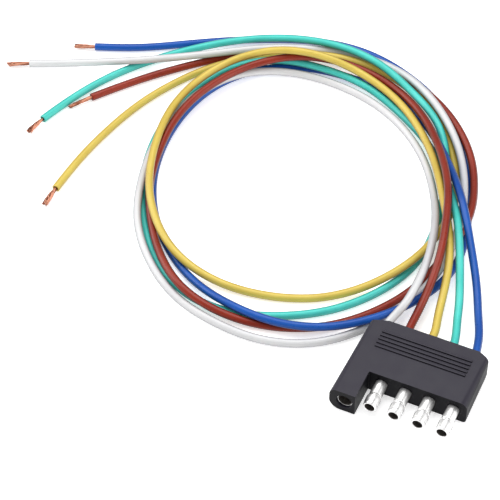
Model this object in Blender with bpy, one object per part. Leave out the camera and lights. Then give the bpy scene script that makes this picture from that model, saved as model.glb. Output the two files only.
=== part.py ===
# Five-way flat trailer wiring connector with its five wire leads.
# Metres, +Z up.  The connector lies flat on z = 0, its middle on the Z axis.
# The contacts look along -Y and the wires leave along +Y.
import math

import bmesh
import bpy
import numpy as np
from mathutils import Matrix, Vector

MM = 0.001

# Moulded housing
PITCH = 9.5 * MM                # from one contact to the next
LEFT_X = -25.0 * MM
RIGHT_X = 24.75 * MM
THICKNESS = 10.4 * MM
REAR_Y = 19.5 * MM
PIN_FACE_Y = -6.6 * MM          # the face that the bullets stand out of
ARM_END_Y = -20.0 * MM          # the mouth of the shrouded socket
ARM_INNER_X = -14.65 * MM
LEFT_DRAFT = 1.4 * MM           # the arm's outer side narrows towards the rear
RIGHT_DRAFT = 0.6 * MM
REAR_CHAMFER = 2.2 * MM
LEFT_CHAMFER = 6.6 * MM
RIGHT_CHAMFER = 4.4 * MM
AXIS_Z = THICKNESS / 2          # height of the contacts' axes
CORNER_RADII = (4.5 * MM, 1.4 * MM, 3.8 * MM, 3.0 * MM)   # low left, low right, top right, top left
REAR_RADII = (4.5 * MM, 1.4 * MM, 1.6 * MM, 1.6 * MM)
CORNER_STEPS = 6

# Grip bars across the top
BAR_COUNT = 5
BAR_FIRST_Y = 5.5 * MM
BAR_SPACING = 1.87 * MM
BAR_DEPTH = 1.3 * MM
BAR_HEIGHT = 0.5 * MM
BAR_DRAFT = 0.3 * MM            # how much narrower a bar is at its top
BAR_SUNK = 0.4 * MM             # how far a bar reaches into the body
BAR_LEFT_X = -17.6 * MM
BAR_RIGHT_X = 18.8 * MM

# Contacts
GAP = 0.3 * MM                  # kept between neighbouring pieces
BULLET_LENGTH = 11.9 * MM       # stands out of the pin face
BULLET_HEAD_R = 2.8 * MM
BULLET_WAIST_R = 2.3 * MM
BULLET_SHANK_R = 2.5 * MM
BULLET_TIP_R = 2.35 * MM
BULLET_HOLE_R = 1.95 * MM
BULLET_HOLE_DEPTH = 7.0 * MM
BULLET_WAIST_SHARE = 0.44       # of the length from the tip
BULLET_EASE = 0.5 * MM          # length of the slopes beside the waist
BULLET_TIP_EASE = 0.7 * MM
SHOULDER_R = 3.1 * MM
SHOULDER_INSET = (1.6 * MM, 2.8 * MM)   # how far behind the pin face it starts and ends
SOCKET_OUTER_R = 3.15 * MM
SOCKET_INNER_R = 2.8 * MM
SOCKET_RECESS = 1.1 * MM
SOCKET_SLIT = 0.5 * MM
SOCKET_REAR_INSET = 12.5 * MM   # behind the arm's end
NECK_R = 1.7 * MM
BARREL_R = 2.1 * MM
BARREL_BORE_R = 1.25 * MM
BARREL_Y = (3.0 * MM, 12.4 * MM)
BARREL_FLOOR = 0.4 * MM         # metal left in front of the crimp's bore, and the slope of its neck

# Wires
WIRE_D = 3.3 * MM
CONDUCTOR_D = 1.9 * MM
WIRE_START_Y = 13.0 * MM        # inside the housing, behind the crimp
EXIT_PITCH = 9.2 * MM           # the wires leave a little closer together than the contacts stand
EXIT_MIDDLE_X = -0.65 * MM
WIRE_POINTS = 80
FINE_READINGS = 50              # of the curve for each point that is kept
FLOOR_CLEARANCE = 0.02 * MM
TURNED_STEPS = 24
BEYOND = 1 * MM                 # how far a cutter runs past the face that it opens

# The way of each lead in millimetres: where it lies after it leaves the housing, and the tip of its bare end.
# Each list is chosen by hand along the loose loop, and the lead follows a smooth curve through it.
LEADS = {
    "white": {
        "way": -2, "color": (0.80, 0.80, 0.79), "tip": (-225.5, 94.4, 1.3),
        "route": [
            (-18, 24, 5.8), (-15.5, 31, 8.2), (-14.5, 42, 9.6), (-15.5, 56, 9.2), (-20, 76, 7.8),
            (-27.5, 95, 3.8), (-38, 112.5, 2), (-52.5, 127, 1.8), (-70.5, 137, 1.8),
            (-90.5, 141.5, 1.7), (-111, 139.5, 2.4), (-128, 128.5, 4.4), (-139, 111, 5.2),
            (-143.5, 91, 5), (-143, 70.5, 5), (-138.5, 50.5, 5.4), (-130.5, 31.5, 4.4),
            (-117.5, 15.5, 3.4), (-101, 4, 2), (-81, -2, 1.8), (-60.5, -2.5, 1.7), (-41.5, 4.5, 1.7),
            (-27, 18.5, 1.7), (-17, 36, 1.8), (-11, 55.5, 3.6), (-10.5, 77, 8), (-15, 96, 7.2),
            (-22.5, 114.5, 5.8), (-34, 131.5, 6.4), (-49.5, 145.5, 7.6), (-67, 155.5, 6.4),
            (-87.5, 158.5, 5.4), (-107.5, 154.5, 5.2), (-126.5, 146, 5.4), (-143.5, 135, 5.4),
            (-161, 123.5, 5.4), (-179, 113.5, 5), (-198, 106.5, 2.6), (-217, 98.5, 1.7),
        ],
    },
    "brown": {
        "way": -1, "color": (0.33, 0.065, 0.035), "tip": (-188.4, 81.6, 1.3),
        "route": [
            (-10, 24.5, 5.2), (-10, 32.5, 5.6), (-10, 43, 7.8), (-11, 56.5, 11.4), (-15.5, 76, 13.2),
            (-22, 95, 12), (-31.5, 112.5, 10.4), (-43, 128.5, 7.8), (-57.5, 142, 5.4), (-75.5, 150, 5),
            (-95.5, 149, 7.6), (-113.5, 141, 9), (-128, 127.5, 8.2), (-137, 109.5, 8.2),
            (-141, 90, 7.4), (-139.5, 70, 6.4), (-134.5, 51, 5.4), (-125, 33, 4.6), (-113, 17.5, 5.2),
            (-97, 5.5, 5.4), (-77.5, 2, 3.4), (-58, 5.5, 1.8), (-40, 14.5, 1.7), (-26.5, 28.5, 1.7),
            (-17, 46, 1.7), (-12, 65.5, 2.6), (-9.5, 85, 5.4), (-13.5, 104.5, 4.6), (-22, 122.5, 4.6),
            (-35, 137.5, 5.4), (-51, 149.5, 4.6), (-69, 157.5, 3), (-89, 159.5, 1.8),
            (-108.5, 155.5, 1.8), (-126.5, 147, 1.8), (-143, 135.5, 1.7), (-157.5, 121.5, 1.8),
            (-170.5, 106.5, 1.8), (-182.5, 90.5, 1.7),
        ],
    },
    "yellow": {
        "way": 0, "color": (0.83, 0.60, 0.16), "tip": (-170.5, 26.4, 1.3),
        "route": [
            (-0.5, 24.5, 5), (-2, 32.5, 4.8), (-4, 43, 5.8), (-7, 57, 9), (-14, 75, 9.8),
            (-23.5, 93, 8.8), (-33.5, 110.5, 7), (-46, 126.5, 5.6), (-61.5, 139.5, 5.4),
            (-80.5, 146.5, 7.4), (-100, 145.5, 11.6), (-119, 139.5, 12.2), (-135, 128, 8.8),
            (-143.5, 109.5, 7.6), (-144.5, 89.5, 9), (-141, 69.5, 9.8), (-134.5, 50.5, 9),
            (-123.5, 33.5, 8), (-108, 21, 6), (-88.5, 16.5, 3), (-68.5, 18.5, 1.8), (-50, 25.5, 1.7),
            (-34, 38, 3.2), (-22.5, 54.5, 5.6), (-18, 74, 4.4), (-18.5, 94, 2.6), (-24.5, 113, 1.7),
            (-35, 130.5, 1.7), (-49.5, 144.5, 3), (-67.5, 152.5, 4.4), (-87.5, 155, 5.2),
            (-107.5, 150.5, 5.4), (-126, 142.5, 3.8), (-142, 130.5, 2), (-153.5, 114, 1.7),
            (-161.5, 95.5, 1.8), (-166.5, 76, 1.8), (-169.5, 56, 1.7), (-170.5, 36, 1.7),
        ],
    },
    "green": {
        "way": 1, "color": (0.05, 0.56, 0.43), "tip": (-196.9, 61.1, 1.3),
        "route": [
            (8, 24.5, 5), (5, 35.5, 4.6), (3, 42.5, 5.2), (-1.5, 55, 8), (-9.5, 74, 11.6),
            (-18.5, 91.5, 9.2), (-29, 108.5, 5.2), (-42.5, 124.5, 2.4), (-59, 136.5, 1.7),
            (-77.5, 144, 3.4), (-97.5, 145.5, 4.6), (-118, 141.5, 5.2), (-134.5, 130.5, 3.4),
            (-144, 112.5, 1.7), (-147, 92.5, 1.7), (-145, 72, 1.7), (-139, 52.5, 1.7),
            (-129, 34.5, 1.7), (-116, 18.5, 1.7), (-99, 7.5, 1.7), (-79, 5, 1.7), (-59.5, 11, 1.7),
            (-42.5, 22, 1.7), (-29.5, 37.5, 1.7), (-21.5, 56.5, 1.7), (-20.5, 77, 1.8), (-24, 97, 1.7),
            (-30, 116.5, 2.8), (-40.5, 133, 5.6), (-57.5, 145.5, 7.2), (-75.5, 154, 8.8),
            (-96, 157, 9.2), (-116, 155.5, 7.2), (-135.5, 149, 4.8), (-152.5, 138.5, 2.8),
            (-167.5, 124.5, 1.7), (-179.5, 108, 1.7), (-188.5, 89.5, 1.7), (-195, 70, 1.7),
        ],
    },
    "blue": {
        "way": 2, "color": (0.02, 0.10, 0.56), "tip": (-204.7, 117.2, 1.3),
        "route": [
            (17, 24.5, 4.8), (15, 32.5, 4), (11.5, 41.5, 3.4), (6, 54.5, 4.2), (-3.5, 72, 8.6),
            (-13.5, 89, 12), (-24.5, 106.5, 8.8), (-36.5, 122.5, 5.8), (-50.5, 136.5, 2.6),
            (-68.5, 145.5, 1.7), (-89, 148, 1.7), (-108.5, 145, 1.7), (-126, 134.5, 1.7),
            (-137.5, 117.5, 1.7), (-142, 98, 1.7), (-141.5, 78, 1.7), (-136.5, 58, 1.7),
            (-127, 40, 1.7), (-113.5, 25, 1.7), (-97, 13.5, 2.4), (-78, 6, 5.2), (-58, 5, 5.4),
            (-39, 11.5, 4.8), (-23.5, 23.5, 5.2), (-12, 40.5, 4.2), (-6.5, 60, 2.4), (-8, 80.5, 1.7),
            (-14, 99.5, 1.8), (-22.5, 118.5, 1.7), (-34, 135.5, 1.8), (-48, 150, 1.7),
            (-65.5, 160, 1.7), (-85, 165.5, 1.7), (-105, 164.5, 1.7), (-124.5, 158, 1.7),
            (-142.5, 149, 1.7), (-160, 138.5, 1.7), (-177.5, 128, 1.7), (-196, 120, 1.7),
        ],
    },
}


def make_material(name, color, roughness, metallic):
    material = bpy.data.materials.new(name)
    material.use_nodes = True
    shader = material.node_tree.nodes["Principled BSDF"]
    shader.inputs["Base Color"].default_value = (*color, 1.0)
    shader.inputs["Roughness"].default_value = roughness
    shader.inputs["Metallic"].default_value = metallic
    return material


def add_mesh_object(name, bm, material=None):
    bmesh.ops.recalc_face_normals(bm, faces=bm.faces)
    mesh = bpy.data.meshes.new(name)
    bm.to_mesh(mesh)
    bm.free()
    part = bpy.data.objects.new(name, mesh)
    bpy.context.scene.collection.objects.link(part)
    if material:
        mesh.materials.append(material)
    return part


def as_cutter(part):
    part.hide_render = True
    part.display_type = "WIRE"
    return part


def add_boolean(part, cutter, operation):
    modifier = part.modifiers.new(f"{operation.title()} {cutter.name}", "BOOLEAN")
    modifier.operation = operation
    modifier.solver = "EXACT"
    modifier.object = cutter


def shade_round(part):
    part.data.shade_smooth()
    part.data.set_sharp_from_angle(angle=math.radians(35))


def prism_from_outline(bm, outline, thickness):
    """Add a flat outline of 3-D points to bm and extrude it by the vector thickness."""
    face = bm.faces.new([bm.verts.new(point) for point in outline])
    extruded = bmesh.ops.extrude_face_region(bm, geom=[face], use_keep_orig=True)
    far_side = [item for item in extruded["geom"] if isinstance(item, bmesh.types.BMVert)]
    bmesh.ops.translate(bm, verts=far_side, vec=thickness)
    return far_side


def turned_mesh(profile, axis_x):
    """Spin (radius, y) points about the contact's own axis, which lies along Y at axis_x."""
    bm = bmesh.new()
    verts = [bm.verts.new((axis_x + radius, y, AXIS_Z)) for radius, y in profile]
    edges = [bm.edges.new(pair) for pair in zip(verts, verts[1:])]
    bmesh.ops.spin(
        bm, geom=verts + edges, cent=(axis_x, 0, AXIS_Z), axis=(0, 1, 0),
        angle=math.tau, steps=TURNED_STEPS, use_duplicate=False, use_merge=True)
    bmesh.ops.remove_doubles(bm, verts=bm.verts, dist=0.001 * MM)
    return bm


def rounded_section(left_x, right_x, y, radii):
    """The housing's cross-section, a rectangle with a different radius at each corner."""
    corners = [
        (left_x, 0, 1, 1), (right_x, 0, -1, 1), (right_x, THICKNESS, -1, -1), (left_x, THICKNESS, 1, -1)]
    section = []
    for number, (x, z, side_x, side_z) in enumerate(corners):
        radius = radii[number]
        start = math.pi + number * math.pi / 2
        for step in range(CORNER_STEPS + 1):
            angle = start + step / CORNER_STEPS * math.pi / 2
            section.append((
                x + side_x * radius + radius * math.cos(angle), y,
                z + side_z * radius + radius * math.sin(angle)))
    return section


def make_housing(material):
    bm = bmesh.new()
    left = LEFT_X + LEFT_DRAFT
    right = RIGHT_X - RIGHT_DRAFT
    front = [bm.verts.new(point) for point in rounded_section(LEFT_X, RIGHT_X, ARM_END_Y, CORNER_RADII)]
    rear = [bm.verts.new(point) for point in rounded_section(left, right, REAR_Y, REAR_RADII)]
    front_face = bm.faces.new(front)
    rear_face = bm.faces.new(rear)
    bmesh.ops.bridge_loops(bm, edges=list(front_face.edges) + list(rear_face.edges))
    housing = add_mesh_object("housing", bm, material)

    # The plan view leaves the socket's arm standing beside the open bay of the bullets.
    outline = [
        (left - PITCH, ARM_END_Y - PITCH), (ARM_INNER_X, ARM_END_Y - PITCH), (ARM_INNER_X, PIN_FACE_Y),
        (right + PITCH, PIN_FACE_Y), (right + PITCH, REAR_Y - REAR_CHAMFER), (right, REAR_Y - REAR_CHAMFER),
        (right - RIGHT_CHAMFER, REAR_Y), (left + LEFT_CHAMFER, REAR_Y), (left, REAR_Y - REAR_CHAMFER),
        (left - PITCH, REAR_Y - REAR_CHAMFER)]
    bm = bmesh.new()
    prism_from_outline(bm, [(x, y, -THICKNESS) for x, y in outline], Vector((0, 0, 3 * THICKNESS)))
    add_boolean(housing, as_cutter(add_mesh_object("plan_outline", bm)), "INTERSECT")

    # Grip bars, with slightly drafted walls, sunk a little into the top.
    bm = bmesh.new()
    for number in range(BAR_COUNT):
        front_y = BAR_FIRST_Y + number * BAR_SPACING
        outline = [
            (BAR_LEFT_X, front_y, THICKNESS - BAR_SUNK), (BAR_RIGHT_X, front_y, THICKNESS - BAR_SUNK),
            (BAR_RIGHT_X, front_y + BAR_DEPTH, THICKNESS - BAR_SUNK),
            (BAR_LEFT_X, front_y + BAR_DEPTH, THICKNESS - BAR_SUNK)]
        top = prism_from_outline(bm, outline, Vector((0, 0, BAR_SUNK + BAR_HEIGHT)))
        middle = Vector(((BAR_LEFT_X + BAR_RIGHT_X) / 2, front_y + BAR_DEPTH / 2, 0))
        narrowing = (1 - BAR_DRAFT / (BAR_RIGHT_X - BAR_LEFT_X), 1 - BAR_DRAFT / BAR_DEPTH, 1)
        bmesh.ops.scale(bm, verts=top, vec=narrowing, space=Matrix.Translation(-middle))
    add_boolean(housing, as_cutter(add_mesh_object("grip_bars", bm)), "UNION")

    for name, lead in LEADS.items():
        profile = socket_channel() if name == "white" else bullet_channel()
        cutter = add_mesh_object(f"channel_{name}", turned_mesh(profile, lead["way"] * PITCH))
        add_boolean(housing, as_cutter(cutter), "DIFFERENCE")
        cutter = add_mesh_object(f"wire_channel_{name}", turned_mesh(wire_channel(), exit_x(lead)))
        add_boolean(housing, as_cutter(cutter), "DIFFERENCE")


def exit_x(lead):
    return EXIT_MIDDLE_X + lead["way"] * EXIT_PITCH


def crimp_channel_end():
    """The rear of a contact's channel, which holds the crimp."""
    return [(BARREL_R + GAP, WIRE_START_Y - GAP), (0, WIRE_START_Y - GAP)]


def wire_channel():
    """The hole that lets the wire out at the rear. It starts inside the contact's channel."""
    front = WIRE_START_Y - 2 * GAP
    radius = WIRE_D / 2 + GAP
    return [(0, front), (radius, front), (radius, REAR_Y + BEYOND), (0, REAR_Y + BEYOND)]


def bullet_channel():
    shoulder_front, shoulder_rear = shoulder_span()
    return [
        (0, PIN_FACE_Y - BEYOND), (BULLET_SHANK_R + GAP, PIN_FACE_Y - BEYOND),
        (BULLET_SHANK_R + GAP, shoulder_front - GAP), (SHOULDER_R + GAP, shoulder_front - GAP),
        (SHOULDER_R + GAP, shoulder_rear + GAP), (BARREL_R + GAP, shoulder_rear + GAP)] + crimp_channel_end()


def socket_channel():
    tube_rear = socket_tube_rear()
    return [
        (0, ARM_END_Y - BEYOND), (SOCKET_OUTER_R + GAP, ARM_END_Y - BEYOND),
        (SOCKET_OUTER_R + GAP, tube_rear + GAP), (BARREL_R + GAP, tube_rear + GAP)] + crimp_channel_end()


def shoulder_span():
    start, end = SHOULDER_INSET
    return PIN_FACE_Y + start, PIN_FACE_Y + end


def socket_tube_rear():
    return ARM_END_Y + SOCKET_REAR_INSET


def crimp_profile():
    """Neck and crimp barrel behind a contact, ending on the axis at the bottom of the barrel's bore."""
    front, rear = BARREL_Y
    return [
        (NECK_R, front - BARREL_FLOOR), (BARREL_R, front), (BARREL_R, rear), (BARREL_BORE_R, rear),
        (BARREL_BORE_R, front + BARREL_FLOOR), (0, front + BARREL_FLOOR)]


def make_bullet(name, axis_x, material):
    tip = PIN_FACE_Y - BULLET_LENGTH
    waist = tip + BULLET_WAIST_SHARE * BULLET_LENGTH
    hole_end = tip + BULLET_HOLE_DEPTH
    shoulder_front, shoulder_rear = shoulder_span()
    profile = [
        (0, hole_end), (BULLET_HOLE_R, hole_end), (BULLET_HOLE_R, tip), (BULLET_TIP_R, tip),
        (BULLET_HEAD_R, tip + BULLET_TIP_EASE), (BULLET_HEAD_R, waist - BULLET_EASE),
        (BULLET_WAIST_R, waist), (BULLET_SHANK_R, waist + BULLET_EASE), (BULLET_SHANK_R, shoulder_front),
        (SHOULDER_R, shoulder_front), (SHOULDER_R, shoulder_rear), (NECK_R, shoulder_rear)] + crimp_profile()
    bullet = add_mesh_object(name, turned_mesh(profile, axis_x), material)
    shade_round(bullet)


def make_socket(name, axis_x, material):
    mouth = ARM_END_Y + SOCKET_RECESS
    rear = socket_tube_rear()
    wall = SOCKET_OUTER_R - SOCKET_INNER_R
    profile = [
        (0, rear - 2 * wall), (SOCKET_INNER_R, rear - 2 * wall), (SOCKET_INNER_R, mouth),
        (SOCKET_OUTER_R, mouth), (SOCKET_OUTER_R, rear - wall), (SOCKET_OUTER_R - wall, rear),
        (NECK_R, rear)] + crimp_profile()
    socket = add_mesh_object(name, turned_mesh(profile, axis_x), material)
    shade_round(socket)

    # The rolled tube stays open along its top, which lets it spring onto a bullet.
    bm = bmesh.new()
    left = axis_x - SOCKET_SLIT / 2
    right = axis_x + SOCKET_SLIT / 2
    low = AXIS_Z + SOCKET_INNER_R / 2
    front_y = mouth - BEYOND
    rear_y = rear - 4 * wall
    outline = [(left, front_y, low), (right, front_y, low), (right, rear_y, low), (left, rear_y, low)]
    prism_from_outline(bm, outline, Vector((0, 0, SOCKET_OUTER_R)))
    add_boolean(socket, as_cutter(add_mesh_object("socket_slit", bm)), "DIFFERENCE")


def make_crimped_conductor(name, axis_x, material):
    """The bare strands that the crimp holds, between the barrel's bottom and the insulation."""
    front = BARREL_Y[0] + BARREL_FLOOR + GAP
    rear = WIRE_START_Y - GAP
    radius = CONDUCTOR_D / 2
    chamfer = 0.2 * MM
    profile = [
        (0, front), (radius - chamfer, front), (radius, front + chamfer), (radius, rear), (0, rear)]
    conductor = add_mesh_object(name, turned_mesh(profile, axis_x), material)
    shade_round(conductor)


def smooth_curve(points, count):
    """Read count points from a natural cubic spline through the points.

    The first stretch ends where the wire leaves the housing, and the rest are evenly long.
    """
    knots = np.array(points)
    at = np.concatenate([[0], np.cumsum(np.linalg.norm(np.diff(knots, axis=0), axis=1))])
    step = np.diff(at)
    last = len(knots) - 1
    system = np.eye(last + 1)
    bend = np.zeros((last + 1, 3))
    for i in range(1, last):
        system[i, i - 1:i + 2] = step[i - 1], 2 * (step[i - 1] + step[i]), step[i]
        bend[i] = 6 * ((knots[i + 1] - knots[i]) / step[i] - (knots[i] - knots[i - 1]) / step[i - 1])
    curvature = np.linalg.solve(system, bend)

    fine = np.linspace(0, at[-1], FINE_READINGS * count)
    i = np.clip(np.searchsorted(at, fine, side="right") - 1, 0, last - 1)
    width = step[i][:, None]
    ahead = (fine - at[i])[:, None]
    behind = width - ahead
    curve = (
        (curvature[i] * behind**3 + curvature[i + 1] * ahead**3) / (6 * width)
        + (knots[i] / width - curvature[i] * width / 6) * behind
        + (knots[i + 1] / width - curvature[i + 1] * width / 6) * ahead)
    run = np.concatenate([[0], np.cumsum(np.linalg.norm(np.diff(curve, axis=0), axis=1))])
    exit_run = np.interp(at[1], fine, run)
    picked = np.concatenate([[0], np.linspace(exit_run, run[-1], count - 1)])
    return np.stack([np.interp(picked, run, curve[:, axis]) for axis in range(3)], axis=1)


def make_tube(name, points, diameter, material):
    data = bpy.data.curves.new(name, "CURVE")
    data.dimensions = "3D"
    data.bevel_depth = diameter / 2
    data.bevel_resolution = 2
    data.use_fill_caps = True
    spline = data.splines.new("POLY")
    spline.points.add(len(points) - 1)
    for point, place in zip(spline.points, points):
        point.co = (*place, 1)
    data.materials.append(material)
    tube = bpy.data.objects.new(name, data)
    bpy.context.scene.collection.objects.link(tube)


def make_lead(name, lead, wire_material, copper_material):
    way_out = exit_x(lead)
    route = [(way_out, WIRE_START_Y, AXIS_Z), (way_out, REAR_Y, AXIS_Z)]
    route += [tuple(value * MM for value in point) for point in lead["route"]]
    points = smooth_curve(route, WIRE_POINTS)
    points[:, 2] = np.maximum(points[:, 2], WIRE_D / 2 + FLOOR_CLEARANCE)
    make_tube(f"wire_{name}", points, WIRE_D, wire_material)

    # The stripped end carries on in the wire's own direction and droops a little.
    end = Vector(points[-1])
    ahead = (end - Vector(points[-2])).normalized()
    tip = Vector([value * MM for value in lead["tip"]])
    start = end + ahead * GAP
    middle = start + ahead * (tip - start).length / 2
    bare = [start, (start + middle) / 2, (middle * 3 + tip) / 4, tip]
    make_tube(f"copper_end_{name}", bare, CONDUCTOR_D, copper_material)


def main():
    for old in list(bpy.data.objects):
        bpy.data.objects.remove(old)

    housing_material = make_material("housing_vinyl", (0.065, 0.062, 0.075), 0.42, 0.0)
    contact_material = make_material("tinned_brass", (0.86, 0.85, 0.83), 0.22, 1.0)
    copper_material = make_material("bare_copper", (0.72, 0.33, 0.19), 0.35, 1.0)
    make_housing(housing_material)
    for name, lead in LEADS.items():
        axis_x = lead["way"] * PITCH
        if name == "white":
            make_socket("socket_terminal_white", axis_x, contact_material)
        else:
            make_bullet(f"bullet_terminal_{name}", axis_x, contact_material)
        make_crimped_conductor(f"crimped_conductor_{name}", axis_x, copper_material)
        wire_material = make_material(f"insulation_{name}", lead["color"], 0.38, 0.0)
        make_lead(name, lead, wire_material, copper_material)


main()
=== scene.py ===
import math

import bmesh
import bpy
import numpy as np
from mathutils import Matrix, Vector


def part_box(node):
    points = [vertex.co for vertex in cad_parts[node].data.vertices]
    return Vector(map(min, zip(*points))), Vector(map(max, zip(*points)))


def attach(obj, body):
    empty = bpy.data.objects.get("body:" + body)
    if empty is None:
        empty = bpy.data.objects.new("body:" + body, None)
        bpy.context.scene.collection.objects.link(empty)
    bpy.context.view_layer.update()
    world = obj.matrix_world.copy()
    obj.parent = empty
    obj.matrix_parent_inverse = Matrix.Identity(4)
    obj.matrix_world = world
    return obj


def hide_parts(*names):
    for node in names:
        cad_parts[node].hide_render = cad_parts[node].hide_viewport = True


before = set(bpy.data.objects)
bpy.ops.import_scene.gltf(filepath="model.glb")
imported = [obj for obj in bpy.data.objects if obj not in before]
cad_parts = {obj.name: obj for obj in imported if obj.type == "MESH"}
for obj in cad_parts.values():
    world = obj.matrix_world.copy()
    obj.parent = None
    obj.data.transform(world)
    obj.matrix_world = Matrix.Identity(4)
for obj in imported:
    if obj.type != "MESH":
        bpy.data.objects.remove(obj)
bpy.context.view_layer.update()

mm = 0.001
scene = bpy.context.scene

cameraLook = {
    "place": (0.14003, -0.45220, 0.58944),
    "azimuth": 24.536,
    "elevation": 47.486,
    "lens": 144.0,
    "sensor": 36.0,
}


def makeCamera(look):
    data = bpy.data.cameras.new("studioCamera")
    data.lens = look["lens"]
    data.sensor_width = look["sensor"]
    data.clip_start = 0.01
    data.clip_end = 20.0
    camera = bpy.data.objects.new("studioCamera", data)
    camera.location = look["place"]
    camera.rotation_euler = (math.radians(90 - look["elevation"]), 0, math.radians(look["azimuth"]))
    scene.collection.objects.link(camera)
    scene.camera = camera


makeCamera(cameraLook)
print("camera placed")


# Shared shader helpers and node groups

def addNode(tree, kind, **settings):
    node = tree.nodes.new(kind)
    for name, value in settings.items():
        setattr(node, name, value)
    return node


def feed(tree, socket, value):
    # A number or a colour is set on the socket, another node's output is linked to it.
    if isinstance(value, bpy.types.NodeSocket):
        tree.links.new(value, socket)
    elif isinstance(value, tuple):
        socket.default_value = (*value, 1.0)
    elif value is not None:
        socket.default_value = value


def mathNode(tree, operation, first, second=None, clamp=False):
    node = addNode(tree, "ShaderNodeMath", operation=operation, use_clamp=clamp)
    feed(tree, node.inputs[0], first)
    feed(tree, node.inputs[1], second)
    return node.outputs[0]


def mapRange(tree, value, low, high, toLow, toHigh):
    node = addNode(tree, "ShaderNodeMapRange", clamp=True)
    tree.links.new(value, node.inputs["Value"])
    for name, number in (("From Min", low), ("From Max", high), ("To Min", toLow), ("To Max", toHigh)):
        node.inputs[name].default_value = number
    return node.outputs["Result"]


def noiseNode(tree, vector, scale, detail=3.0, roughness=0.5):
    node = addNode(tree, "ShaderNodeTexNoise")
    tree.links.new(vector, node.inputs["Vector"])
    feed(tree, node.inputs["Scale"], scale)
    node.inputs["Detail"].default_value = detail
    node.inputs["Roughness"].default_value = roughness
    return node.outputs["Fac"]


def newGroup(name, inputs, outputs):
    group = bpy.data.node_groups.new(name, "ShaderNodeTree")
    for title, value in inputs.items():
        socket = group.interface.new_socket(name=title, in_out="INPUT", socket_type="NodeSocketFloat")
        socket.default_value = value
    for title in outputs:
        group.interface.new_socket(name=title, in_out="OUTPUT", socket_type="NodeSocketFloat")
    return group, addNode(group, "NodeGroupInput"), addNode(group, "NodeGroupOutput")


def makeGrainGroup():
    # Fine grain and slow unevenness over any surface, from Object coordinates.
    group, source, result = newGroup(
        "surfaceGrain", {"Scale": 1200.0, "Slow Scale": 120.0}, ["Fine", "Slow"])
    place = addNode(group, "ShaderNodeTexCoord").outputs["Object"]
    group.links.new(noiseNode(group, place, source.outputs["Scale"], 4.0), result.inputs["Fine"])
    group.links.new(noiseNode(group, place, source.outputs["Slow Scale"], 3.0), result.inputs["Slow"])
    return group


def makeEdgeHighlightWearGroup():
    # A mask along edges for a painted highlight with rubbed wear: where a softened normal leaves the true
    # one, broken up by noise.
    group, source, result = newGroup("edgeHighlightAndWear", {"Width": 0.0003, "Breakup": 900.0}, ["Mask"])
    geometry = addNode(group, "ShaderNodeNewGeometry")
    place = addNode(group, "ShaderNodeTexCoord").outputs["Object"]
    noise = noiseNode(group, place, source.outputs["Breakup"], 2.0)
    softened = addNode(group, "ShaderNodeBevel", samples=4)
    group.links.new(source.outputs["Width"], softened.inputs["Radius"])
    compare = addNode(group, "ShaderNodeVectorMath", operation="DOT_PRODUCT")
    group.links.new(softened.outputs["Normal"], compare.inputs[0])
    group.links.new(geometry.outputs["Normal"], compare.inputs[1])
    spread = mapRange(group, compare.outputs["Value"], 0.8, 0.98, 1.0, 0.0)
    broken = mathNode(group, "MULTIPLY", spread, noise, clamp=True)
    group.links.new(broken, result.inputs["Mask"])
    return group


def placeGroup(tree, group, **values):
    node = addNode(tree, "ShaderNodeGroup", node_tree=group)
    for title, value in values.items():
        node.inputs[title.replace("_", " ")].default_value = value
    return node


def newMaterial(name, roughness, metallic, **constants):
    material = bpy.data.materials.new(name)
    material.use_nodes = True
    tree = material.node_tree
    shader = tree.nodes["Principled BSDF"]
    shader.inputs["Roughness"].default_value = roughness
    shader.inputs["Metallic"].default_value = metallic
    for title, value in constants.items():
        shader.inputs[title.replace("_", " ")].default_value = value
    return material, tree, shader


def mixColors(tree, factor, first, second):
    node = addNode(tree, "ShaderNodeMix", data_type="RGBA")
    tree.links.new(factor, node.inputs["Factor"])
    feed(tree, node.inputs[6], first)
    feed(tree, node.inputs[7], second)
    return node.outputs[2]


def addBump(tree, shader, height, strength, distance):
    bump = addNode(tree, "ShaderNodeBump")
    bump.inputs["Strength"].default_value = strength
    bump.inputs["Distance"].default_value = distance
    tree.links.new(height, bump.inputs["Height"])
    tree.links.new(bump.outputs["Normal"], shader.inputs["Normal"])
    return bump


def paintSideShade(tree, color, paintedSideShade, sideShadeRange):
    # Painted shade: the colour darkens on the sides that turn away from the eye.
    weight = addNode(tree, "ShaderNodeLayerWeight")
    weight.inputs["Blend"].default_value = 0.5
    turned = mapRange(tree, weight.outputs["Facing"], *sideShadeRange, 0.0, 1.0)
    return mixColors(tree, turned, color, paintedSideShade)


grainGroup = makeGrainGroup()
edgeHighlightWearGroup = makeEdgeHighlightWearGroup()

vinylLook = {
    "color": (0.014, 0.0120, 0.0215),
    "paleColor": (0.021, 0.0178, 0.030),
    # The edge colour is a painted highlight along the edges, with rubbed wear.
    "edgeHighlightColor": (0.055, 0.054, 0.065),
    # The wall colour is painted shade for the side walls.
    "wallShadeColor": (0.006, 0.0057, 0.008),
    "roughness": (0.42, 0.54),
    "shine": (0.10, 0.32),      # on the side walls and on the top
    "grain": 2600.0,
    "edgeWidth": 0.25 * mm,
}


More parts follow.
